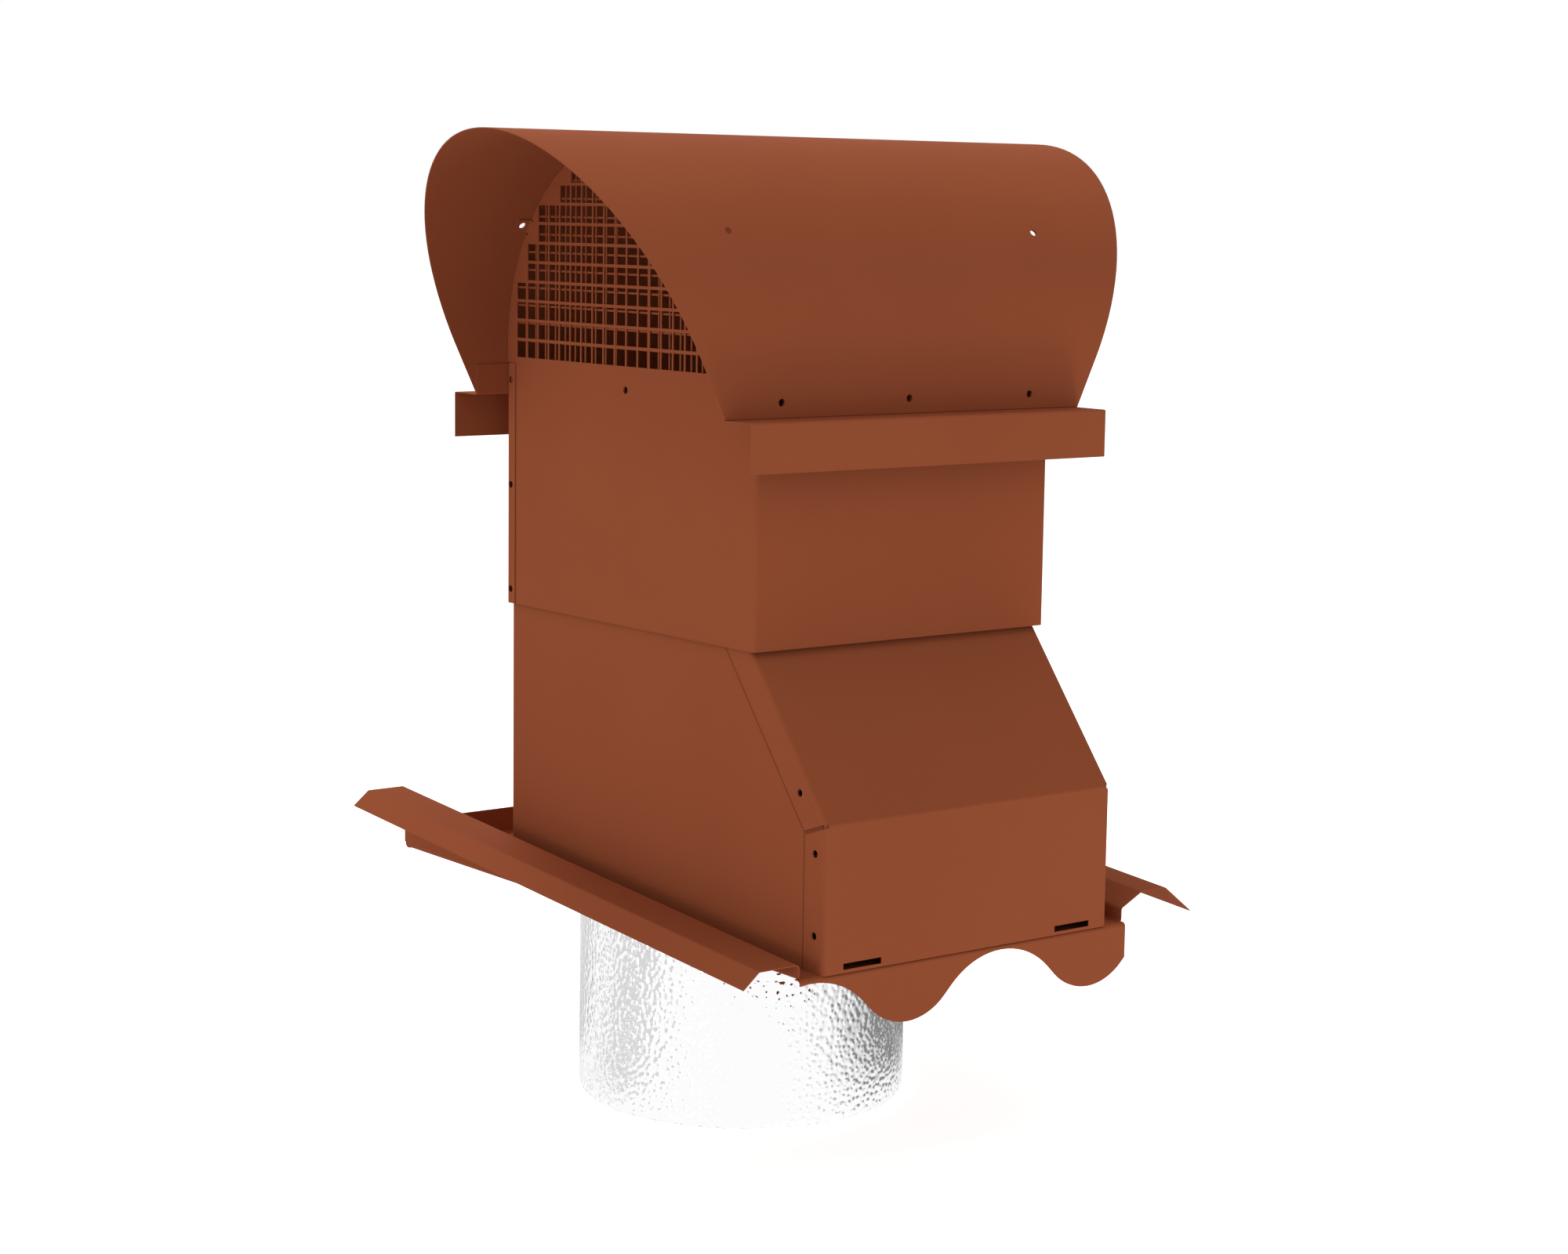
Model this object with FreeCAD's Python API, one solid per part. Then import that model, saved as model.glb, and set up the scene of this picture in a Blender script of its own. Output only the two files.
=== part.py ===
import FreeCAD, Part
import math
import os

# Roof tile vent: a folded sheet tray that lies among the roof tiles, a sloping housing on it,
# an upper box with perforated gables under an arched hood, and an insulated duct that hangs below.
# Millimetres. +Z is up, +Y points up the roof, X runs along the hood.
# The origin is the centre of the duct's lower end.

# Sheet and folding
sheet = 0.6              # coated steel sheet
bend_inside = 2.2        # inside radius of the folds
tight_bend = 0.5         # inside radius of the small folds on rails and tabs
hole_radius = 2.5        # rivet holes, all left open
hole_sides = 12          # flats round a rivet hole
seat_gap = 0.2           # clearance behind a fold and at a sheet's cut end

# Duct
pipe_bore = 125.0        # inner diameter of the pipe
pipe_wall = 0.6
duct_outer = 225.0       # over the foil
foil = 0.3
duct_drop = 143.5        # duct's lower end below the top of the tray's floor
duct_rise = 168.0        # insulation above the tray's floor
pipe_rise = 222.0        # pipe's upper end above the tray's floor
duct_back_gap = 0.4      # between the foil and the housing's back
duct_side_gap = 3.8      # between the foil and the housing's sides
duct_foot_round = 5.0    # the duct's rounded lower edge
duct_foot_flats = 2      # flats that round it
floor_hole_gap = 0.3     # round the duct in the tray's floor
collar_height = 14.0
collar_flange = 16.0
cap_neck_height = 18.0

# Lower housing
housing_height = 190.0   # tray floor to the lower edge of the upper box
front_upright = 93.0     # upright part of the front panel
front_projection = 71.0  # front panel ahead of the upper box's front
slope_inset = 6.6        # slope's line behind the box's front at its lower edge
neck_height = 15.0       # housing's part inside the upper box
sleeve_gap = 1.9         # housing inside the box's sides
back_gap = 0.4           # housing inside the box's back
housing_flange = 20.0
flange_relief = 2.5      # mitred gap in the flanges at the slope's fold
housing_hole_edge = 10.0
slope_hole_rise = 29.0   # hole above the fold, along the slope
upright_hole_low = 23.3  # holes on the upright part, above the floor
upright_hole_high = 74.3
drain_slot_length = 30.0
drain_slot_height = 4.0
drain_slot_foot = 2.0    # slot's lower edge above the floor
drain_slot_place = 87.0

# Upper box
box_depth = 282.0
box_wall = 164.4         # height of the front and back walls
arch_rise = 176.2        # hood's axis above the box's lower edge
arch_step = 0.5          # gable's step over the back wall
back_flange = 10.0
back_hole_inset = 4.8
back_hole_heights = (9.8, 81.7, 153.4)
net_hole_height = 153.7  # hole in the gable, also through the net behind it

# Perforation in the gables
mesh_pitch = 13.0
mesh_bar_upright = 1.5
mesh_bar_level = 2.0
mesh_sill = 169.0        # lowest openings' lower edge above the box's lower edge
mesh_rim = 0.8           # least sheet left outside the openings

# Bird net behind the gables, of crossed wires
net_pitch = 11.9
net_wire = 1.3
net_thickness = 0.5
net_edge = 0.6           # net inside the gable's arch
net_strip = 21.0         # solid strip along the net's foot, up to the perforation's sill

# Hood and its fixing
hood_foot = 143.8        # top of the rail's ledge above the box's lower edge
hood_eave = 24.5         # hood's foot past the box at each side
hood_lean = 84.9         # hood's ridge past its foot at each side
hood_hole_rise = 153.6
hood_hole_inset = 18.2   # outer foot holes inside the box's sides
tab_angle = 35.0         # above the horizontal
tab_width = 10.0
tab_reach = 9.7
tab_relief = 1.0
tab_root = 2.6           # depth of the notch that frees the tab

# Drip rails
rail_end = 0.5           # rail past the hood's foot at each side
rail_leg = 20.0
rail_ledge = 28.0
rail_drop = 30.8

# Tray
gutter = 16.7            # between the housing and the tray's side walls
tray_back = 116.0        # tray behind the housing
wall_front = 9.4         # side wall's height at the front
wall_back = 44.2         # and at the back
back_upstand = 18.8
left_rail = 29.8
left_lip = (11.7, 9.7)   # out and down
right_incline = (17.5, 8.8)   # out and up
right_rail = 21.8
right_lip = (23.7, 18.6)      # out and down
apron_overhang = 0.9     # apron past the side walls
wave_pitch = 152.8       # tile's wave
wave_depth = 35.0
wave_peak_radius = 58.0
wave_trough_radius = 42.0
wave_peak_drop = 3.0     # edge of the apron below the floor at a peak
wave_place = 26.4        # a peak's place across the tray

# Worked out: widths and heights
bend_outside = bend_inside + sheet
duct_radius = duct_outer / 2
housing_half = duct_radius + duct_side_gap + sheet
box_half = housing_half + 2 * sheet + sleeve_gap
box_width = 2 * box_half
depth_half = box_depth / 2
hood_half_foot = box_half + hood_eave
hood_half_ridge = hood_half_foot + hood_lean
hood_hole_reach = box_half - hood_hole_inset
hood_hole_places = (-hood_hole_reach, 0.0, hood_hole_reach)
rail_half = hood_half_foot + rail_end
floor_z = duct_drop
box_z = floor_z + housing_height
axis_z = box_z + arch_rise
arch_radius = depth_half
hood_inner = depth_half + sheet
hood_outer = hood_inner + sheet
ridge_z = axis_z + hood_outer

# Worked out: places along the roof
housing_back_y = duct_radius + duct_back_gap + sheet
box_y = housing_back_y + back_gap + sheet - depth_half
box_front_y = box_y - depth_half
box_back_y = box_y + depth_half
front_y = box_front_y - front_projection
fold_z = floor_z + front_upright
slope_lean = (front_projection + slope_inset) / (box_z - fold_z)
neck_z = box_z + neck_height
slope_angle = math.degrees(math.atan(slope_lean))
wall_half = housing_half + sheet + gutter
tray_back_y = housing_back_y + tray_back

V = FreeCAD.Vector
X = V(1, 0, 0)
Y = V(0, 1, 0)
Z = V(0, 0, 1)


def polygon(points):
    """Face with straight sides through points in one plane."""
    return Part.Face(Part.makePolygon(points + [points[0]]))


def in_plane(plane, a, b, place=0.0):
    """Point (a, b) of a drawing on the plane 'xz', 'yz' or 'xy' at a place along its normal, or on a plane
    given as a function of a and b."""
    if callable(plane):
        return plane(a, b)
    if plane == "xz":
        return V(a, place, b)
    if plane == "yz":
        return V(place, a, b)
    return V(a, b, place)


def unit(a, b):
    """Direction from a to b and the distance between them, as plain numbers."""
    du = b[0] - a[0]
    dv = b[1] - a[1]
    length = math.hypot(du, dv)
    return du / length, dv / length, length


def offset_path(points, distance):
    """The path moved sideways to its left by a distance, with sharp corners."""
    moved = []
    for i, (u, v) in enumerate(points):
        before = unit(points[i - 1], points[i]) if i > 0 else None
        after = unit(points[i], points[i + 1]) if i + 1 < len(points) else None
        if before is None:
            before = after
        if after is None:
            after = before
        nu = -before[1] - after[1]
        nv = before[0] + after[0]
        scale = 2 * distance / (nu * nu + nv * nv)
        moved.append((u + nu * scale, v + nv * scale))
    return moved


def rounded_edges(points, radii, plane, place):
    """Edges of a path whose inner corners are arcs of the given radii."""
    edges = []
    start = points[0]
    for i in range(1, len(points) - 1):
        au, av, _ = unit(points[i], points[i - 1])
        bu, bv, _ = unit(points[i], points[i + 1])
        half = math.acos(max(-1.0, min(1.0, au * bu + av * bv))) / 2
        run = radii[i - 1] / math.tan(half)
        first = (points[i][0] + au * run, points[i][1] + av * run)
        last = (points[i][0] + bu * run, points[i][1] + bv * run)
        mu, mv, _ = unit(points[i], (points[i][0] + au + bu, points[i][1] + av + bv))
        near = radii[i - 1] / math.sin(half) - radii[i - 1]
        middle = (points[i][0] + mu * near, points[i][1] + mv * near)
        a, m, b = [in_plane(plane, q[0], q[1], place) for q in (first, middle, last)]
        edges.append(Part.LineSegment(in_plane(plane, *start, place), a).toShape())
        edges.append(Part.Arc(a, m, b).toShape())
        start = last
    edges.append(Part.LineSegment(in_plane(plane, *start, place),
                                  in_plane(plane, *points[-1], place)).toShape())
    return edges


def folded(points, plane, place=0.0, inside=bend_inside):
    """Section of a folded sheet: points run along one face, the sheet lies to their left."""
    moved = offset_path(points, sheet)
    radii = []
    for i in range(1, len(points) - 1):
        au, av, _ = unit(points[i - 1], points[i])
        bu, bv, _ = unit(points[i], points[i + 1])
        turns_left = au * bv - av * bu > 0
        radii.append(inside + sheet if turns_left else inside)
    others = [2 * inside + sheet - r for r in radii]
    there = rounded_edges(points, radii, plane, place)
    back = rounded_edges(moved, others, plane, place)
    ends = []
    for a, b in ((points[0], moved[0]), (points[-1], moved[-1])):
        ends.append(Part.LineSegment(in_plane(plane, *a, place), in_plane(plane, *b, place)).toShape())
    return Part.Face(Part.Wire(Part.__sortEdges__(there + back + ends)))


def tube(outer, inner, foot, height):
    """Upright tube on the duct's axis."""
    outside = Part.makeCylinder(outer, height, V(0, 0, foot))
    return outside.cut(Part.makeCylinder(inner, height, V(0, 0, foot)))


def hole_along(axis, start, length):
    """Cutter for a rivet hole, from its start along the axis."""
    u = axis.cross(Z if abs(axis.z) < 0.9 else X).normalize()
    v = axis.cross(u)
    corners = []
    for number in range(hole_sides):
        turn = 2 * math.pi * (number + 0.5) / hole_sides
        corners.append(start + (u * math.cos(turn) + v * math.sin(turn)) * hole_radius)
    return polygon(corners).extrude(axis * length)


def hole_across(axis, centre, reach):
    """Cutter for a rivet hole, half of it each side of its centre."""
    return hole_along(axis, centre - axis * reach, 2 * reach)


def fused(solids):
    """One solid from pieces that touch or overlap, with its flat faces joined."""
    return solids[0].fuse(solids[1:]).removeSplitter()


def save(name, shape):
    """Writes one piece's file."""
    shape.exportStep("parts/" + name + ".step")


# Duct

def inner_duct():
    radius = pipe_bore / 2
    return tube(radius + pipe_wall, radius, 0, floor_z + pipe_rise)


def rounded_drum(radius, foot, round_radius):
    """Upright cylinder on the duct's axis up to the insulation's top, its lower edge rounded in flats."""
    top = floor_z + duct_rise
    points = [V(0, 0, foot)]
    for step in range(duct_foot_flats + 1):
        turn = math.pi / 2 * step / duct_foot_flats
        points.append(V(radius - round_radius * (1 - math.sin(turn)), 0, foot + round_radius * (1 - math.cos(turn))))
    points.append(V(radius, 0, top))
    points.append(V(0, 0, top))
    return polygon(points).revolve(V(0, 0, 0), Z, 360)


def duct_insulation():
    """Wool ring between the pipe and the foil, standing on the foil that is folded in under it."""
    wool = rounded_drum(duct_radius - foil, foil, duct_foot_round - foil)
    return wool.cut(Part.makeCylinder(pipe_bore / 2 + pipe_wall, floor_z + duct_rise, V(0, 0, 0)))


def foil_jacket():
    """Foil round the wool, folded in under it as far as the pipe."""
    skin = rounded_drum(duct_radius, 0, duct_foot_round)
    skin = skin.cut(rounded_drum(duct_radius - foil, foil, duct_foot_round - foil))
    return skin.cut(Part.makeCylinder(pipe_bore / 2 + pipe_wall, floor_z + duct_rise, V(0, 0, 0)))


def duct_cap():
    """Sheet ring on the insulation's top, with a neck up round the pipe."""
    foot = floor_z + duct_rise
    pipe_outside = pipe_bore / 2 + pipe_wall
    ring = tube(duct_radius, pipe_outside, foot, sheet)
    neck = tube(pipe_outside + sheet, pipe_outside, foot, cap_neck_height)
    return fused([ring, neck])


def floor_collar():
    """Angle ring under the tray's floor that holds the duct."""
    top = floor_z - sheet
    inner = duct_radius + seat_gap
    flange = tube(inner + collar_flange, inner, top - sheet, sheet)
    neck = tube(inner + sheet, inner, top - collar_height, collar_height)
    return fused([flange, neck])


# Tray

def wave_edge(first, last):
    """Edges of the apron's lower edge from one peak to another, on the plane of the apron's face."""
    peak_z = floor_z - wave_peak_drop
    trough_z = peak_z - wave_depth
    lean = wave_lean()
    edges = []
    for number in range(first, last):
        peak_x = wave_place + number * wave_pitch
        trough_x = peak_x + wave_pitch / 2
        low = V(trough_x, 0, trough_z + wave_trough_radius)
        for side in (1, -1):
            centre_x = peak_x if side > 0 else peak_x + wave_pitch
            crown = V(centre_x, 0, peak_z)
            top = V(centre_x, 0, peak_z - wave_peak_radius)
            half = top + V(side * math.sin(lean / 2), 0, math.cos(lean / 2)) * wave_peak_radius
            leave = top + V(side * math.sin(lean), 0, math.cos(lean)) * wave_peak_radius
            meet = low + V(-side * math.sin(lean), 0, -math.cos(lean)) * wave_trough_radius
            dip = low + V(-side * math.sin(lean / 2), 0, -math.cos(lean / 2)) * wave_trough_radius
            bottom = V(trough_x, 0, trough_z)
            edges.append(Part.Arc(crown, half, leave).toShape())
            edges.append(Part.LineSegment(leave, meet).toShape())
            edges.append(Part.Arc(meet, dip, bottom).toShape())
    return edges


def wave_lean():
    """Slope of the straight runs between the wave's arcs, in radians."""
    radii = wave_peak_radius + wave_trough_radius
    low = 0.0
    high = math.pi / 2
    for _ in range(60):
        lean = (low + high) / 2
        run = wave_pitch / 2 - radii * math.sin(lean)
        drop = radii * (1 - math.cos(lean)) + run * math.tan(lean)
        if run < 0 or drop > wave_depth:
            high = lean
        else:
            low = lean
    return low


def apron():
    """Front fold of the tray, cut to the tile's wave."""
    half = wall_half + apron_overhang
    foot = floor_z - wave_peak_drop - wave_depth - bend_outside
    section = folded([(front_y + 2 * bend_outside, floor_z), (front_y, floor_z), (front_y, foot)], "yz", -half)
    strip = section.extrude(X * 2 * half)
    periods = int(math.ceil(half / wave_pitch)) + 1
    edges = wave_edge(-periods, periods)
    left = V(wave_place - periods * wave_pitch, 0, floor_z - wave_peak_drop)
    right = V(wave_place + periods * wave_pitch, 0, floor_z - wave_peak_drop)
    rise = Z * (wave_peak_drop + sheet)
    edges.append(Part.LineSegment(left, left + rise).toShape())
    edges.append(Part.LineSegment(left + rise, right + rise).toShape())
    edges.append(Part.LineSegment(right + rise, right).toShape())
    outline = Part.Face(Part.Wire(Part.__sortEdges__(edges)))
    outline.translate(Y * (front_y - sheet))
    return strip.common(outline.extrude(Y * (3 * bend_outside + sheet)))


def rim(points):
    """Side wall and rail of the tray, drawn at its front end and rising towards the back."""
    front = front_y + bend_outside
    length = tray_back_y - front
    section = folded(points, "xz", front)
    rise = wall_back - wall_front
    side = section.extrude(V(0, length, rise))
    low = floor_z + bend_outside + sheet
    waste = Part.makeBox(2 * wall_half, length + 2 * sheet, 2 * wall_back,
                         V(-wall_half, front - sheet, low - 2 * wall_back))
    return side.cut(waste)


def tray():
    """Folded tray with a hole for the duct, an apron in front, rails at its sides and an upstand behind."""
    front = front_y + bend_outside
    back = tray_back_y - bend_outside
    half = wall_half
    low = floor_z - (wall_back - wall_front)
    top = floor_z + wall_front - sheet
    foot = floor_z - sheet
    lift = floor_z + 2 * bend_outside
    pan = folded([(-half, lift), (-half, foot), (half, foot), (half, lift)], "xz", front).extrude(Y * (back - front))

    left_out = -half - left_rail
    left = rim([(left_out - left_lip[0], top - left_lip[1]), (left_out, top), (-half, top), (-half, low)])
    crest = top + right_incline[1]
    incline_out = half + right_incline[0]
    rail_out = incline_out + right_rail
    right = rim([(half, low), (half, top), (incline_out, crest), (rail_out, crest),
                 (rail_out + right_lip[0], crest - right_lip[1])])

    upstand_half = half - sheet - seat_gap
    upstand = folded([(back - bend_outside, foot), (tray_back_y, foot), (tray_back_y, floor_z + back_upstand)],
                     "yz", -upstand_half).extrude(X * 2 * upstand_half)
    body = fused([pan, left, right, upstand, apron()])
    opening = Part.makeCylinder(duct_radius + floor_hole_gap, 4 * sheet, V(0, 0, floor_z - 2 * sheet))
    return body.cut(opening)


# Lower housing

def slope_y(z, inward=0.0):
    """Place of the slope's outer face at a height, or of a plane that lies further in."""
    return front_y + slope_lean * (z - fold_z) + inward / math.cos(math.radians(slope_angle))


def fold_inward_z(inward):
    """Height at which the upright and sloping planes meet when both lie further in."""
    return fold_z - inward * math.tan(math.radians(slope_angle) / 2)


def panel_holes():
    """Places of the holes in a side flange of the front panel, as (y, z)."""
    lean = math.radians(slope_angle)
    up = slope_hole_rise * math.cos(lean)
    slope_hole = (slope_y(fold_z + up) + housing_hole_edge * math.cos(lean),
                  fold_z + up - housing_hole_edge * math.sin(lean))
    return [slope_hole,
            (front_y + housing_hole_edge, floor_z + upright_hole_high),
            (front_y + housing_hole_edge, floor_z + upright_hole_low)]


def lower_housing_wrap():
    """Back and both sides of the lower housing in one folded sheet."""
    start_y = front_y + bend_outside + seat_gap
    outline = [(-housing_half, start_y), (-housing_half, housing_back_y), (housing_half, housing_back_y),
               (housing_half, start_y)]
    wrap = folded(outline[::-1], "xy", floor_z).extrude(Z * (neck_z - floor_z))
    inward = bend_outside + seat_gap
    low = fold_inward_z(inward)
    keep = polygon([V(-box_half, front_y + inward, floor_z),
                    V(-box_half, front_y + inward, low),
                    V(-box_half, slope_y(neck_z, inward), neck_z),
                    V(-box_half, housing_back_y, neck_z),
                    V(-box_half, housing_back_y, floor_z)]).extrude(X * box_width)
    wrap = wrap.common(keep)
    for y, z in panel_holes():
        wrap = wrap.cut(hole_across(X, V(0, y, z), box_half))
    return wrap


def panel_stretch(length):
    """One flat stretch of the front panel with its side flanges, standing on the origin, facing -Y."""
    half = housing_half + sheet
    section = folded([(-half, housing_flange), (-half, 0), (half, 0), (half, housing_flange)], "xy")
    return section.extrude(Z * length)


def lower_front_panel():
    """Front of the lower housing: an upright and a sloping stretch, with side flanges over the wrap."""
    half = housing_half + sheet
    lean = math.radians(slope_angle)
    slope_length = (neck_z - fold_z) / math.cos(lean)
    bend_run = bend_outside * math.tan(lean / 2)

    upright = panel_stretch(front_upright + housing_flange)
    upright.translate(V(0, front_y, floor_z))
    slope = panel_stretch(slope_length + 2 * housing_flange)
    slope.translate(Z * -housing_flange)
    slope.rotate(V(0, 0, 0), X, -slope_angle)
    slope.translate(V(0, front_y, fold_z))

    # Both stretches end at a plane that halves the fold's angle, less half of the relief
    mitre = V(0, math.cos(lean / 2), -math.sin(lean / 2))
    across = V(0, math.sin(lean / 2), math.cos(lean / 2))
    fold = V(0, front_y, fold_z)
    reach = 2 * box_width
    halves = []
    for stretch, sign in ((upright, -1), (slope, 1)):
        limit = fold + across * sign * max(flange_relief / 2, bend_run)
        a = limit - mitre * reach
        b = limit + mitre * reach
        c = b + across * sign * reach
        d = a + across * sign * reach
        keep = polygon([p - X * reach for p in (a, b, c, d)]).extrude(X * 2 * reach)
        halves.append(stretch.common(keep))

    # Between them only the front is folded, from bend to bend
    flat_half = half - bend_outside
    reach_down = (fold_z - housing_flange)
    knee = folded([(front_y, reach_down), (front_y, fold_z),
                   (slope_y(fold_z + housing_flange), fold_z + housing_flange)][::-1],
                  "yz", -flat_half).extrude(X * 2 * flat_half)
    panel = fused(halves + [knee])
    top_waste = Part.makeBox(reach, reach, reach, V(-reach / 2, front_y, neck_z))
    panel = panel.cut(top_waste)
    for y, z in panel_holes():
        panel = panel.cut(hole_across(X, V(0, y, z), box_half))
    for x in (-drain_slot_place, drain_slot_place):
        slot = Part.makeBox(drain_slot_length, 4 * sheet, drain_slot_height,
                            V(x - drain_slot_length / 2, front_y - 2 * sheet, floor_z + drain_slot_foot))
        panel = panel.cut(slot)
    return panel


# Upper box

def mesh_rows(outer):
    """How many openings fit under the arch in a column whose outer edge lies at a distance."""
    radius = arch_radius - mesh_rim
    if outer > radius:
        return 0
    room = arch_rise - mesh_sill + math.sqrt(radius ** 2 - outer ** 2) + mesh_bar_level
    return int(math.floor(room / mesh_pitch + 1e-6))


def mesh_openings(x):
    """Wires of the perforation's openings on a plane across the hood."""
    wires = []
    column = 0
    while True:
        inner = mesh_bar_upright / 2 + column * mesh_pitch
        outer = inner + mesh_pitch - mesh_bar_upright
        rows = mesh_rows(outer)
        if rows < 1:
            return wires
        for side in (-1, 1):
            for row in range(rows):
                low = box_z + mesh_sill + row * mesh_pitch
                high = low + mesh_pitch - mesh_bar_level
                corners = [V(x, box_y + side * inner, low), V(x, box_y + side * outer, low),
                           V(x, box_y + side * outer, high), V(x, box_y + side * inner, high)]
                wires.append(Part.makePolygon(corners + [corners[0]]))
        column += 1


def tab_frame(side):
    """Centre line of a tab: direction from the hood's axis, and the direction along the arch."""
    angle = math.radians(tab_angle)
    out = V(0, side * math.cos(angle), math.sin(angle))
    along = V(0, -side * math.sin(angle), math.cos(angle))
    return out, along


def gable(x, hand):
    """One gable, a flat sheet with its perforation, from x outwards; hand is -1 at the left."""
    front = box_front_y + bend_outside
    back = box_back_y - bend_outside - seat_gap
    shoulder = box_z + box_wall
    axis = V(x, box_y, axis_z)
    front_top = V(x, box_front_y, axis_z)
    back_top = V(x, box_back_y, axis_z)
    corners = [front_top, V(x, box_front_y, shoulder), V(x, front, shoulder), V(x, front, box_z), V(x, back, box_z),
               V(x, back, shoulder + arch_step), V(x, box_back_y, shoulder + arch_step), back_top]
    edges = []
    for a, b in zip(corners, corners[1:]):
        edges.append(Part.LineSegment(a, b).toShape())
    edges.append(Part.Arc(back_top, axis + Z * arch_radius, front_top).toShape())
    outline = Part.Wire(Part.__sortEdges__(edges))
    plate = Part.makeFace([outline] + mesh_openings(x), "Part::FaceMakerBullseye").extrude(X * hand * sheet)

    tabs = []
    for side in (-1, 1):
        out, along = tab_frame(side)
        root = arch_radius - tab_root
        width = tab_width + 2 * tab_relief
        base = axis + out * root - along * width / 2 - X * hand * sheet
        notch = polygon([base, base + along * width, base + along * width + out * tab_width,
                         base + out * tab_width]).extrude(X * hand * 3 * sheet)
        plate = plate.cut(notch)
        tabs.append(tab(axis, out, along, root, hand))
    return fused([plate] + tabs)


def tab_top():
    """Distance of a tab's outer face from the hood's axis, so that its long edges clear the hood."""
    return math.sqrt((hood_inner - seat_gap / 2) ** 2 - (tab_width / 2) ** 2)


def tab(axis, out, along, root, hand):
    """Tab bent outwards from the gable's edge, to lie against the hood."""
    def drawn(across, up):
        return axis + X * hand * across + out * up - along * tab_width / 2

    top = tab_top()
    return folded([(tab_reach + sheet, top), (0, top), (0, root)], drawn, 0.0, tight_bend).extrude(along * tab_width)


def tab_hole_cutters():
    """Cutters along the tabs' normals, through tab and hood."""
    cutters = []
    for hand in (-1, 1):
        for side in (-1, 1):
            out, _ = tab_frame(side)
            centre = V(hand * (box_half + tab_reach / 2), box_y, axis_z) + out * (arch_radius - tab_root)
            cutters.append(hole_along(out, centre, 4 * tab_root))
    return cutters


def foot_hole_cutters():
    """Cutters across the roof through the hood's foot, the rail and the box wall."""
    cutters = []
    for x in hood_hole_places:
        for side in (-1, 1):
            centre = V(x, box_y + side * hood_inner, box_z + hood_hole_rise)
            cutters.append(hole_across(Y, centre, 4 * sheet))
    return cutters


def back_hole_cutters():
    """Cutters through the back panel's flanges and the gables' edges, and through gable and net."""
    cutters = []
    for height in back_hole_heights:
        centre = V(0, box_back_y - back_hole_inset, box_z + height)
        cutters.append(hole_across(X, centre, box_half + 2 * sheet))
    cutters.append(hole_across(X, V(0, box_y, box_z + net_hole_height), box_half + 2 * sheet))
    return cutters


def upper_box_wrap():
    """Front and both gables of the upper box in one folded sheet, with its tabs bent outwards."""
    side_y = box_front_y + bend_outside
    front = folded([(-box_half, side_y + sheet), (-box_half, box_front_y), (box_half, box_front_y),
                    (box_half, side_y + sheet)], "xy", box_z).extrude(Z * box_wall)
    gables = []
    for hand in (-1, 1):
        gables.append(gable(hand * (box_half - sheet), hand))
    wrap = fused([front] + gables)
    for cutter in tab_hole_cutters() + foot_hole_cutters() + back_hole_cutters():
        wrap = wrap.cut(cutter)
    return wrap


def upper_back_panel():
    """Back wall of the upper box, with flanges that lie on the gables."""
    half = box_half + sheet
    flange_y = box_back_y - back_flange
    wall = folded([(half, flange_y), (half, box_back_y), (-half, box_back_y), (-half, flange_y)], "xy", box_z)
    wall = wall.extrude(Z * box_wall)
    for cutter in foot_hole_cutters() + back_hole_cutters():
        wall = wall.cut(cutter)
    return wall


def bird_net(hand):
    """Net behind a gable: upright wires on level wires, clipped to the arch, and a strip along the foot."""
    radius = arch_radius - net_edge
    face_x = hand * (box_half - sheet)
    sill = box_z + mesh_sill
    foot = sill - net_strip
    wires = []
    strip_half = depth_half - bend_outside - seat_gap
    strip = Part.makeBox(net_thickness, 2 * strip_half, net_strip,
                         V(min(face_x, face_x - hand * net_thickness), box_y - strip_half, foot))
    wires.append(strip.cut(hole_across(X, V(face_x, box_y, box_z + net_hole_height), 4 * sheet)))
    columns = int(radius // net_pitch)
    for number in range(-columns, columns + 1):
        y = number * net_pitch
        outer = abs(y) + net_wire / 2
        if outer > radius:
            continue
        top = axis_z + math.sqrt(radius ** 2 - outer ** 2)
        wires.append(Part.makeBox(net_thickness, net_wire, top - sill,
                                  V(min(face_x, face_x - hand * net_thickness), box_y + y - net_wire / 2, sill)))
    level = sill + net_pitch - net_wire / 2
    deep_x = face_x - hand * net_thickness
    while level + net_wire < axis_z + radius:
        high = level + net_wire / 2 - axis_z
        low = level - net_wire / 2 - axis_z
        far = max(abs(high), abs(low))
        half = math.sqrt(radius ** 2 - far ** 2) - net_edge
        if half < net_pitch:
            break
        wires.append(Part.makeBox(net_thickness, 2 * half, net_wire,
                                  V(min(deep_x, deep_x - hand * net_thickness), box_y - half, level - net_wire / 2)))
        level += net_pitch
    return Part.makeCompound(wires)


# Hood and rails

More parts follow.
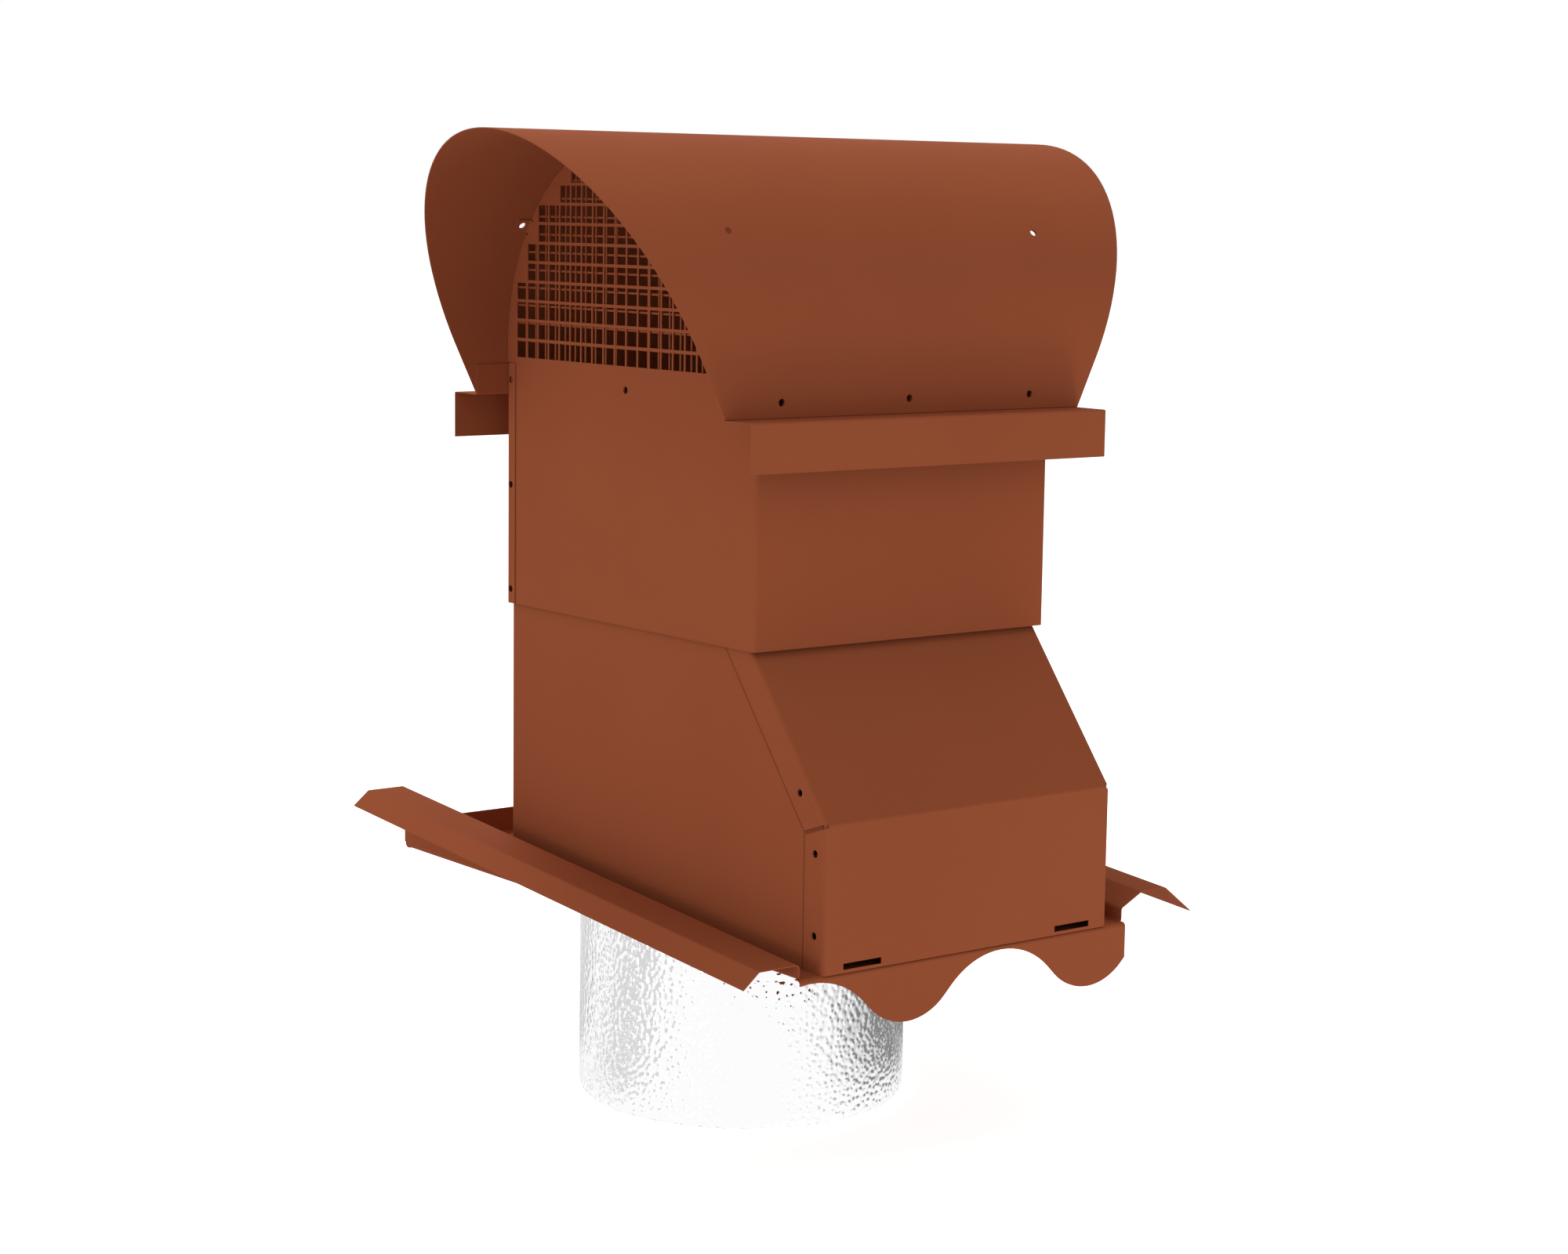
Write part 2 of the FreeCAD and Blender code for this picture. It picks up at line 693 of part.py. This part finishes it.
def hood():
    """Arched cover with straight feet and ends that lean outwards."""
    foot = box_z + hood_foot + tight_bend
    edges = []
    for radius, sign in ((hood_outer, 1), (hood_inner, -1)):
        front = V(0, box_y - radius, axis_z)
        back = V(0, box_y + radius, axis_z)
        edges.append(Part.LineSegment(V(0, box_y - radius, foot), front).toShape())
        edges.append(Part.Arc(front, V(0, box_y, axis_z + radius), back).toShape())
        edges.append(Part.LineSegment(back, V(0, box_y + radius, foot)).toShape())
    for side in (-1, 1):
        edges.append(Part.LineSegment(V(0, box_y + side * hood_inner, foot),
                                      V(0, box_y + side * hood_outer, foot)).toShape())
    section = Part.Face(Part.Wire(Part.__sortEdges__(edges)))
    section.translate(X * -2 * hood_half_ridge)
    shell = section.extrude(X * 4 * hood_half_ridge)
    low = box_z + hood_foot
    lean = (hood_half_ridge - hood_half_foot) / (ridge_z - low)
    over = ridge_z + sheet
    half_over = hood_half_ridge + lean * sheet
    keep = polygon([V(-hood_half_foot, box_y - 2 * hood_outer, low), V(hood_half_foot, box_y - 2 * hood_outer, low),
                    V(half_over, box_y - 2 * hood_outer, over), V(-half_over, box_y - 2 * hood_outer, over)])
    shell = shell.common(keep.extrude(Y * 4 * hood_outer))
    for cutter in tab_hole_cutters() + foot_hole_cutters():
        shell = shell.cut(cutter)
    return shell


def drip_rail(side):
    """Rail under the hood's foot: a leg on the box wall, a ledge outwards and a drop; side is -1 in front."""
    wall = depth_half + sheet
    ledge = box_z + hood_foot
    points = [(wall, ledge + rail_leg), (wall, ledge), (wall + rail_ledge - sheet, ledge),
              (wall + rail_ledge - sheet, ledge - rail_drop)]
    if side < 0:
        points = [(-y, z) for y, z in points]
    else:
        points = points[::-1]
    points = [(box_y + y, z) for y, z in points]
    rail = folded(points, "yz", -rail_half, tight_bend)
    rail = rail.extrude(X * 2 * rail_half)
    for cutter in foot_hole_cutters():
        rail = rail.cut(cutter)
    return rail


def main():
    os.makedirs("parts", exist_ok=True)
    save("inner_duct", inner_duct())
    save("duct_insulation", duct_insulation())
    save("foil_jacket", foil_jacket())
    save("duct_cap", duct_cap())
    save("floor_collar", floor_collar())
    save("tile_tray", tray())
    save("lower_housing_wrap", lower_housing_wrap())
    save("lower_front_panel", lower_front_panel())
    save("upper_box_wrap", upper_box_wrap())
    save("upper_back_panel", upper_back_panel())
    save("bird_net_left", bird_net(-1))
    save("bird_net_right", bird_net(1))
    save("hood", hood())
    save("drip_rail_front", drip_rail(-1))
    save("drip_rail_rear", drip_rail(1))


main()
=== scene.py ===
import math

import bpy
from mathutils import Matrix, Vector


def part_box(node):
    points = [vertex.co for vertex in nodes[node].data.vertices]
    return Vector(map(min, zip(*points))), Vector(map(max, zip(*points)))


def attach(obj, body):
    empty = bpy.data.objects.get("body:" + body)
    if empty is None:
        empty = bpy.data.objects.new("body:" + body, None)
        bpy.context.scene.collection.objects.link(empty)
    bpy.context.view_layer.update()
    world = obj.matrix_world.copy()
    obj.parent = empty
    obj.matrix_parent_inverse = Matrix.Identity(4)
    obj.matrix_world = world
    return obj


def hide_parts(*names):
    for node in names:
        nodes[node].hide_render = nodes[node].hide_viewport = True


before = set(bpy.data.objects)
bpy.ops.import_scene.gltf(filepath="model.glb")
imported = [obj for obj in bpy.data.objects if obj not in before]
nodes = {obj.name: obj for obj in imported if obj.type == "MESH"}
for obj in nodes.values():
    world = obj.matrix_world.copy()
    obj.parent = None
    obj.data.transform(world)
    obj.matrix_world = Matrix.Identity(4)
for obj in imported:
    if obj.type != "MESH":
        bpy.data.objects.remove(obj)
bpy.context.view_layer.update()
print("frame loaded,", len(nodes), "nodes")


class Socket:  # one output of a node, so that shader maths reads as plain expressions
    def __init__(self, tree, output):
        self.tree = tree
        self.output = output

    def maths(self, operation, first, second):
        node = self.tree.nodes.new("ShaderNodeMath")
        node.operation = operation
        for slot, value in enumerate((first, second)):
            if isinstance(value, Socket):
                self.tree.links.new(value.output, node.inputs[slot])
            else:
                node.inputs[slot].default_value = value
        return Socket(self.tree, node.outputs[0])

    def __add__(self, other):
        return self.maths("ADD", self, other)

    def __radd__(self, other):
        return self.maths("ADD", other, self)

    def __sub__(self, other):
        return self.maths("SUBTRACT", self, other)

    def __rsub__(self, other):
        return self.maths("SUBTRACT", other, self)

    def __mul__(self, other):
        return self.maths("MULTIPLY", self, other)

    def __rmul__(self, other):
        return self.maths("MULTIPLY", other, self)

    def __abs__(self):
        return self.maths("ABSOLUTE", self, 0.0)

    def least(self, other):
        return self.maths("MINIMUM", self, other)

    def most(self, other):
        return self.maths("MAXIMUM", self, other)

    def below(self, limit):  # 1 where it is under the limit, else 0
        return self.maths("LESS_THAN", self, limit)


class Finish:  # a material or the world, with one method for every other node
    def __init__(self, owner):
        owner.use_nodes = True
        self.owner = owner
        self.tree = owner.node_tree
        self.tree.nodes.clear()

    def add(self, kind, settings=None, sockets=None, output=0):
        node = self.tree.nodes.new("ShaderNode" + kind)
        for key, value in (settings or {}).items():
            if key == "stops":
                ramp = node.color_ramp
                while len(ramp.elements) < len(value):
                    ramp.elements.new(0.5)
                for element, (place, colour) in zip(ramp.elements, value):
                    element.position = place
                    element.color = colour
            else:
                setattr(node, key, value)
        for key, value in (sockets or {}).items():
            if isinstance(value, Socket):
                self.tree.links.new(value.output, node.inputs[key])
            else:
                node.inputs[key].default_value = value
        return Socket(self.tree, node.outputs[output]) if node.outputs else None


def coordinates(finish, place):  # x, y and z of a place as three sockets
    parts = finish.add("SeparateXYZ", {}, {"Vector": place}).output.node
    return [Socket(finish.tree, output) for output in parts.outputs]


def rays(finish, *kinds):  # sockets that are 1 for rays of these kinds
    path = finish.add("LightPath").output.node
    return [Socket(finish.tree, path.outputs["Is " + kind + " Ray"]) for kind in kinds]


def linear(red, green, blue):  # a colour as it is seen, 0 to 255, made ready for a shader
    shares = [channel / 255 for channel in (red, green, blue)]
    return tuple([s / 12.92 if s <= 0.04045 else ((s + 0.055) / 1.055) ** 2.4 for s in shares] + [1.0])


# Finishes

paint = {
    "lightTint": linear(150, 80, 51),
    "darkTint": linear(146, 77, 49),
    "darkUnder": 0.35,      # where the tints begin and end in the noise
    "lightOver": 0.65,
    "cloud": 5.0,           # soft patches, per metre
    "cloudShare": 0.8,
    "grain": 900.0,         # powder grain, per metre
    "grainShare": 0.2,
    "roughness": 0.7,
    "roughnessChange": 0.15,
    "shine": 0.015,
    "peel": 300.0,          # orange peel, per metre
    "peelDepth": 0.00003,
    "peelStrength": 0.35,
    "netShade": 0.86,       # the nets stand in the gables' shade
}


seamShade = {  # painted shadow: the thin dark line of shade where a flange ends on the sheet under it
    "halfWidth": 0.0011,
    "slit": 0.0026,         # half width of the shade in the slit at the front panel's fold
    "core": 0.5,            # share of a half width that is dark all through
    "behind": 0.0012,       # from a flange's edge to the middle of its line
    # how far the painted shadow darkens the paint
    "depth": 0.42,
    # colour of the painted shadow
    "colour": linear(62, 30, 19),
    "flange": 0.020,        # width of the front panel's flanges, metres
    "foldHeight": 0.2365,   # of the front panel's fold
    "lean": 0.8,            # of its slope, back per up
}


def lineMask(finish, distance, halfWidth):
    return finish.add("MapRange", {"interpolation_type": "SMOOTHSTEP"},
                      {"Value": abs(distance), "From Min": halfWidth * seamShade["core"], "From Max": halfWidth,
                       "To Min": 1.0, "To Max": 0.0})


def housingSeamShade(finish, place):  # painted shadow along the back edges of the front panel's flanges, and painted shade in their slit
    _, y, z = coordinates(finish, place)
    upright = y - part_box("lower_front_panel")[0][1]
    rise = z - seamShade["foldHeight"]
    lean = math.atan(seamShade["lean"])
    sloping = (upright - rise * seamShade["lean"]) * math.cos(lean)
    inward = upright.least(sloping)
    edge = lineMask(finish, inward - (seamShade["flange"] + seamShade["behind"]), seamShade["halfWidth"])
    slit = lineMask(finish, upright * math.sin(lean / 2) + rise * math.cos(lean / 2), seamShade["slit"])
    return edge.most(slit * inward.below(seamShade["flange"]))


def gableSeamShade(finish, place):  # painted shadow along the front edges of the back panel's flanges
    _, y, z = coordinates(finish, place)
    low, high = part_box("upper_back_panel")
    return lineMask(finish, y - low[1], seamShade["halfWidth"]) * z.below(high[2])


def makePaint(name, shade, seamShadeLine=None):
    material = bpy.data.materials.new(name)
    finish = Finish(material)
    place = finish.add("TexCoord", output=3)
    cloud = finish.add("TexNoise", {}, {"Vector": place, "Scale": paint["cloud"], "Detail": 3.0})
    grain = finish.add("TexNoise", {}, {"Vector": place, "Scale": paint["grain"], "Detail": 1.0})
    peel = finish.add("TexNoise", {}, {"Vector": place, "Scale": paint["peel"], "Detail": 1.0})
    tints = [(paint["darkUnder"], paint["darkTint"]), (paint["lightOver"], paint["lightTint"])]
    patches = finish.add("ValToRGB", {"stops": tints},
                         {"Fac": cloud * paint["cloudShare"] + grain * paint["grainShare"]})
    colour = finish.add("Mix", {"data_type": "RGBA", "blend_type": "MULTIPLY"},
                        {"Factor": 1.0, "A": patches, "B": (shade, shade, shade, 1.0)}, 2)
    # painted shadow: the colour darkens towards the shadow colour along the given lines
    if seamShadeLine:
        shadow = seamShadeLine(finish, place) * seamShade["depth"]
        colour = finish.add("Mix", {"data_type": "RGBA"},
                            {"Factor": shadow, "A": colour, "B": seamShade["colour"]}, 2)
    bump = finish.add("Bump", {}, {"Strength": paint["peelStrength"], "Distance": paint["peelDepth"],
                                   "Height": peel})
    surface = finish.add("BsdfPrincipled", {}, {
        "Base Color": colour,
        "Roughness": paint["roughness"] + (grain - 0.5) * paint["roughnessChange"],
        "Normal": bump,
        "Specular IOR Level": paint["shine"],
    })
    finish.add("OutputMaterial", {}, {"Surface": surface})
    return material


zinc = {
    "light": linear(196, 198, 200),
    "dark": linear(158, 161, 165),
    "spangle": 90.0,        # crystals per metre
    "roughness": 0.38,
    "roughnessChange": 0.12,
}


def makeZinc():
    material = bpy.data.materials.new("galvanised sheet")
    finish = Finish(material)
    place = finish.add("TexCoord", output=3)
    crystals = finish.add("TexVoronoi", {"feature": "F1"}, {"Vector": place, "Scale": zinc["spangle"]}, 1)
    tone = finish.add("SeparateColor", {}, {"Color": crystals})
    colour = finish.add("Mix", {"data_type": "RGBA"},
                        {"Factor": tone, "A": zinc["dark"], "B": zinc["light"]}, 2)
    surface = finish.add("BsdfPrincipled", {}, {
        "Base Color": colour,
        "Metallic": 1.0,
        "Roughness": zinc["roughness"] + tone * zinc["roughnessChange"],
    })
    finish.add("OutputMaterial", {}, {"Surface": surface})
    return material


wool = {
    "light": linear(206, 190, 140),
    "dark": linear(158, 138, 86),
    "darkUnder": 0.35,
    "lightOver": 0.65,
    "fibres": 260.0,        # per metre
    "tangle": 2.5,
    "nap": 0.001,           # metres
    "napStrength": 0.8,
    "roughness": 0.95,
}


def makeWool():
    material = bpy.data.materials.new("mineral wool")
    finish = Finish(material)
    place = finish.add("TexCoord", output=3)
    fibres = finish.add("TexNoise", {},
                        {"Vector": place, "Scale": wool["fibres"], "Detail": 6.0,
                         "Distortion": wool["tangle"]})
    tints = [(wool["darkUnder"], wool["dark"]), (wool["lightOver"], wool["light"])]
    colour = finish.add("ValToRGB", {"stops": tints}, {"Fac": fibres})
    bump = finish.add("Bump", {}, {"Strength": wool["napStrength"], "Distance": wool["nap"],
                                   "Height": fibres})
    surface = finish.add("BsdfPrincipled", {}, {
        "Base Color": colour,
        "Roughness": wool["roughness"],
        "Normal": bump,
    })
    finish.add("OutputMaterial", {}, {"Surface": surface})
    return material


foil = {
    "colour": linear(252, 252, 253),
    "roughness": 0.07,
    "roughnessChange": 0.05,
    "pebble": 262.0,        # embossed pebbles per metre
    "pebbleSmooth": 0.6,
    "pebbleStray": 0.9,
    "pebbleDepth": 0.00165,
    "pebbleStrength": 0.75,
    "crease": 38.0,
    "creaseDepth": 0.0012,
    "creaseStrength": 0.5,
    "round": 0.005,         # the lower edge's, metres
    "roundSteps": 6,
    "columns": 400,
    "weld": 0.00001,
    "fineRows": 80,         # up to the tray
    "coarseRows": 12,       # inside the housing, where nobody looks
    "fineHeight": 0.145,
    "emboss": 0.00025,      # depth of the pressed relief
    "laminate": 0.0001,
}


def makeFoil():
    material = bpy.data.materials.new("embossed foil")
    finish = Finish(material)
    place = finish.add("TexCoord", output=3)
    pebble = finish.add("TexVoronoi", {"feature": "SMOOTH_F1"},
                        {"Vector": place, "Scale": foil["pebble"], "Smoothness": foil["pebbleSmooth"],
                         "Randomness": foil["pebbleStray"]})
    crease = finish.add("TexNoise", {}, {"Vector": place, "Scale": foil["crease"], "Detail": 3.0})
    creased = finish.add("Bump", {}, {"Strength": foil["creaseStrength"], "Distance": foil["creaseDepth"],
                                      "Height": crease})
    bump = finish.add("Bump", {"invert": True},
                      {"Strength": foil["pebbleStrength"], "Distance": foil["pebbleDepth"],
                       "Height": pebble, "Normal": creased})
    surface = finish.add("BsdfPrincipled", {}, {
        "Base Color": foil["colour"],
        "Metallic": 1.0,
        "Roughness": foil["roughness"] + crease * foil["roughnessChange"],
        "Normal": bump,
    })
    finish.add("OutputMaterial", {}, {"Surface": surface})
    return material


def dressNodes():
    brown = makePaint("roof red paint", 1.0)
    netBrown = makePaint("roof red paint on net", paint["netShade"])
    # these two carry the painted seam shadows
    housingBrownShaded = makePaint("roof red paint on housing with painted seam shadow", 1.0, housingSeamShade)
    boxBrownShaded = makePaint("roof red paint on box with painted seam shadow", 1.0, gableSeamShade)
    galvanised = makeZinc()
    woolFinish = makeWool()
    foilFinish = makeFoil()
    finishes = {
        "inner_duct": galvanised,
        "duct_cap": galvanised,
        "floor_collar": galvanised,
        "duct_insulation": woolFinish,
        "foil_jacket": foilFinish,
        "lower_housing_wrap": housingBrownShaded,
        "upper_box_wrap": boxBrownShaded,
        "bird_net_left": netBrown,
        "bird_net_right": netBrown,
    }
    for name, piece in nodes.items():
        chosen = finishes.get(name, brown)
        piece.data.materials.clear()
        piece.data.materials.append(chosen)
    return foilFinish, brown


foilFinish, brown = dressNodes()
print("finishes done")


def extrudeTo(here, there):  # from one point of a profile to the next
    bpy.ops.mesh.extrude_vertices_move(TRANSFORM_OT_translate={"value": there - here})
    return there


def makeFoilJacket():
    jacket = nodes["foil_jacket"].bound_box
    wall = max(corner[0] for corner in jacket)
    top = max(corner[2] for corner in jacket)
    pipe = max(corner[0] for corner in nodes["inner_duct"].bound_box)
    bpy.ops.object.select_all(action="DESELECT")
    bpy.ops.mesh.primitive_plane_add(size=foil["round"], location=(pipe, 0.0, 0.0))
    piece = bpy.context.object
    piece.name = "embossed_foil"
    bpy.ops.object.mode_set(mode="EDIT")
    bpy.ops.mesh.merge(type="CENTER")
    here = Vector((pipe, 0.0, 0.0))
    for step in range(foil["roundSteps"] + 1):  # tucked in under the wool, then round its edge
        turn = math.pi / 2 * step / foil["roundSteps"]
        here = extrudeTo(here, Vector((wall - foil["round"] * (1 - math.sin(turn)), 0.0,
                                       foil["round"] * (1 - math.cos(turn)))))
    for end, rows in ((foil["fineHeight"], foil["fineRows"]), (top, foil["coarseRows"])):
        rise = (end - here.z) / rows
        for _ in range(rows):
            here = extrudeTo(here, here + Vector((0.0, 0.0, rise)))
    bpy.ops.mesh.select_all(action="SELECT")
    bpy.ops.mesh.spin(steps=foil["columns"], angle=2 * math.pi, center=(0.0, 0.0, 0.0), axis=(0.0, 0.0, 1.0))
    bpy.ops.mesh.select_all(action="SELECT")
    bpy.ops.mesh.remove_doubles(threshold=foil["weld"])
    bpy.ops.mesh.normals_make_consistent(inside=False)
    bpy.ops.object.mode_set(mode="OBJECT")
    bpy.ops.object.shade_smooth()

    pebbles = bpy.data.textures.new("pebbles", "VORONOI")
    pebbles.noise_scale = 1.0 / foil["pebble"]
    emboss = piece.modifiers.new("emboss", "DISPLACE")
    emboss.texture = pebbles
    emboss.strength = foil["emboss"]
    emboss.mid_level = 1.0
    shell = piece.modifiers.new("laminate", "SOLIDIFY")
    shell.thickness = foil["laminate"]
    for modifier in ("emboss", "laminate"):
        bpy.ops.object.modifier_apply(modifier=modifier)
    bpy.ops.object.transform_apply(location=True, rotation=True, scale=True)
    piece.data.materials.append(foilFinish)
    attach(piece, "root")
    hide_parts("foil_jacket")


makeFoilJacket()
print("foil jacket done")


lip = {  # edge of the housing's wrap, seen in the corner of the slit at the front panel's fold
    "bend": 0.0028,         # the panel's outside radius, metres
    "radius": 0.00155,
    "leg": 0.003,
    "below": 0.004,         # from the fold
    "above": 0.0013,
    "steps": 4,
    "sheet": 0.0003,
}


def makeCornerLip(name, side):
    (_, front, _), (wall, _, _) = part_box("lower_front_panel")
    middle = Vector((side * (wall - lip["bend"]), front + lip["bend"], seamShade["foldHeight"] - lip["below"]))
    turns = [math.pi / 2 * step / lip["steps"] for step in range(lip["steps"] + 1)]
    section = [Vector((side * lip["radius"], lip["leg"], 0.0))]
    section += [Vector((side * math.cos(turn), -math.sin(turn), 0.0)) * lip["radius"] for turn in turns]
    section += [Vector((-side * lip["leg"], -lip["radius"], 0.0))]
    bpy.ops.object.select_all(action="DESELECT")
    bpy.ops.mesh.primitive_plane_add(size=lip["radius"], location=middle + section[0])
    piece = bpy.context.object
    piece.name = name
    bpy.ops.object.mode_set(mode="EDIT")
    bpy.ops.mesh.merge(type="CENTER")
    here = section[0]
    for there in section[1:]:
        here = extrudeTo(here, there)
    bpy.ops.mesh.select_all(action="SELECT")
    rise = Vector((0.0, 0.0, lip["below"] + lip["above"]))
    bpy.ops.mesh.extrude_region_move(TRANSFORM_OT_translate={"value": rise})
    bpy.ops.mesh.select_all(action="SELECT")
    bpy.ops.mesh.normals_make_consistent(inside=False)
    bpy.ops.object.mode_set(mode="OBJECT")
    shell = piece.modifiers.new("sheet", "SOLIDIFY")
    shell.thickness = lip["sheet"]
    shell.offset = 0.0
    bpy.ops.object.modifier_apply(modifier="sheet")
    bpy.ops.object.transform_apply(location=True, rotation=True, scale=True)
    piece.data.materials.append(brown)
    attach(piece, "root")


makeCornerLip("corner_lip_left", -1)
makeCornerLip("corner_lip_right", 1)
print("corner lips done")


# Stage, light and camera

camera = {
    "place": (-1.2384, -1.6489, 0.6082),  # metres
    "azimuth": -37.621,
    "elevation": 7.921,
    "roll": 0.830,
    "lens": 69.96,
    "sensor": 36.0,
    "farthest": 100.0,
}


def makeCamera():
    azimuth, elevation, roll = [math.radians(camera[key]) for key in ("azimuth", "elevation", "roll")]
    back = Vector((math.sin(azimuth) * math.cos(elevation), -math.cos(azimuth) * math.cos(elevation),
                   math.sin(elevation)))
    right = Vector((math.cos(azimuth), math.sin(azimuth), 0.0))
    up = back.cross(right)
    tiltedRight = right * math.cos(roll) + up * math.sin(roll)
    tiltedUp = up * math.cos(roll) - right * math.sin(roll)
    turn = Matrix((tiltedRight, tiltedUp, back)).transposed()
    bpy.ops.object.camera_add(location=camera["place"], rotation=turn.to_euler())
    eye = bpy.context.object
    eye.data.lens = camera["lens"]
    eye.data.sensor_width = camera["sensor"]
    eye.data.clip_end = camera["farthest"]
    bpy.context.scene.camera = eye


lamps = {  # low is under the floor, which lets it through as a light table does
    "low": {"place": (0.45, -0.95, -1.1), "size": 0.7, "power": 9.5},
    "side": {"place": (-3.5, -0.5, 0.3), "size": 1.2, "power": 15.0},
    "top": {"place": (0.3, 1.6, 4.0), "size": 1.5, "power": 62.0},
}

light = {
    "aim": (0.0, 0.0, 0.35),
    "ambient": 0.74,
    # what metal mirrors is dimmer at these sides: direction, depth, where it starts and is full
    "dimSides": [
        ((0.94, -0.34, 0.0), 0.46, 0.45, 0.97),
        ((0.89, -0.46, 0.0), 0.58, 0.93, 0.995),
        ((0.96, 0.28, 0.0), 0.56, 0.93, 0.995),
        ((-0.94, 0.34, 0.0), 0.31, 0.92, 0.995),
        ((-0.18, 0.98, 0.0), 0.29, 0.92, 0.995),
    ],
}


def makeLamp(name, choice):
    aim = Vector(light["aim"]) - Vector(choice["place"])
    bpy.ops.object.light_add(type="AREA", location=choice["place"],
                             rotation=aim.to_track_quat("-Z", "Y").to_euler())
    lamp = bpy.context.object
    lamp.name = name
    lamp.data.shape = "DISK"
    lamp.data.size = choice["size"]
    lamp.data.energy = choice["power"]


def mirroredLight(finish, direction):  # strength of the studio in a level direction, as metal shows it
    strength = 1.0
    for towards, depth, start, full in light["dimSides"]:
        facing = finish.add("VectorMath", {"operation": "DOT_PRODUCT"}, {0: direction, 1: towards}, 1)
        dim = finish.add("MapRange", {"interpolation_type": "SMOOTHSTEP"},
                         {"Value": facing, "From Min": start, "From Max": full,
                          "To Min": 1.0, "To Max": 1.0 - depth})
        strength = strength * dim
    return strength


def makeWorld():
    world = bpy.data.worlds.new("studio")
    bpy.context.scene.world = world
    finish = Finish(world)
    cameraRay, glossyRay, transmissionRay = rays(finish, "Camera", "Glossy", "Transmission")
    seen = cameraRay.most(transmissionRay)
    mirrored = glossyRay * mirroredLight(finish, finish.add("TexCoord", output=0))
    lit = (1.0 - seen) * (1.0 - glossyRay) * light["ambient"]
    background = finish.add("Background", {}, {"Color": seen + (1.0 - seen) * mirrored + lit})
    finish.add("OutputWorld", {}, {"Surface": background})


floor = {
    "size": 40.0,
    "colour": 0.82,
    "glow": 0.64,
    "nearWhite": 0.12,      # metres from the duct's middle, up to which metal mirrors it white
    "farDim": 0.20,         # and from which it mirrors the dim sides in full
}


def makeFloor():
    bpy.ops.mesh.primitive_plane_add(size=floor["size"], location=(0.0, 0.0, 0.0))
    ground = bpy.context.object
    ground.name = "floor"
    finish = Finish(bpy.data.materials.new("white floor"))
    cameraRay, glossyRay, shadowRay = rays(finish, "Camera", "Glossy", "Shadow")
    grey = floor["colour"]
    matt = finish.add("BsdfDiffuse", {}, {"Color": (grey, grey, grey, 1.0)})
    glow = finish.add("Emission", {}, {"Color": cameraRay * floor["glow"]})
    both = finish.add("AddShader", {}, {0: matt, 1: glow})
    place = finish.add("TexCoord", output=3)
    direction = finish.add("VectorMath", {"operation": "NORMALIZE"}, {0: place})
    away = finish.add("VectorMath", {"operation": "LENGTH"}, {0: place}, 1)
    fade = finish.add("MapRange", {"interpolation_type": "SMOOTHSTEP"},
                      {"Value": away, "From Min": floor["nearWhite"], "From Max": floor["farDim"]})
    mirrored = 1.0 - (1.0 - mirroredLight(finish, direction)) * fade
    mirror = finish.add("Emission", {}, {"Color": mirrored})
    shown = finish.add("MixShader", {}, {0: glossyRay, 1: both, 2: mirror})
    clear = finish.add("BsdfTransparent")
    surface = finish.add("MixShader", {}, {0: shadowRay, 1: shown, 2: clear})
    finish.add("OutputMaterial", {}, {"Surface": surface})
    ground.data.materials.append(finish.owner)


makeCamera()
for name, choice in lamps.items():
    makeLamp(name, choice)
makeWorld()
makeFloor()
bpy.context.scene.view_settings.view_transform = "Standard"
print("stage, light and camera done")
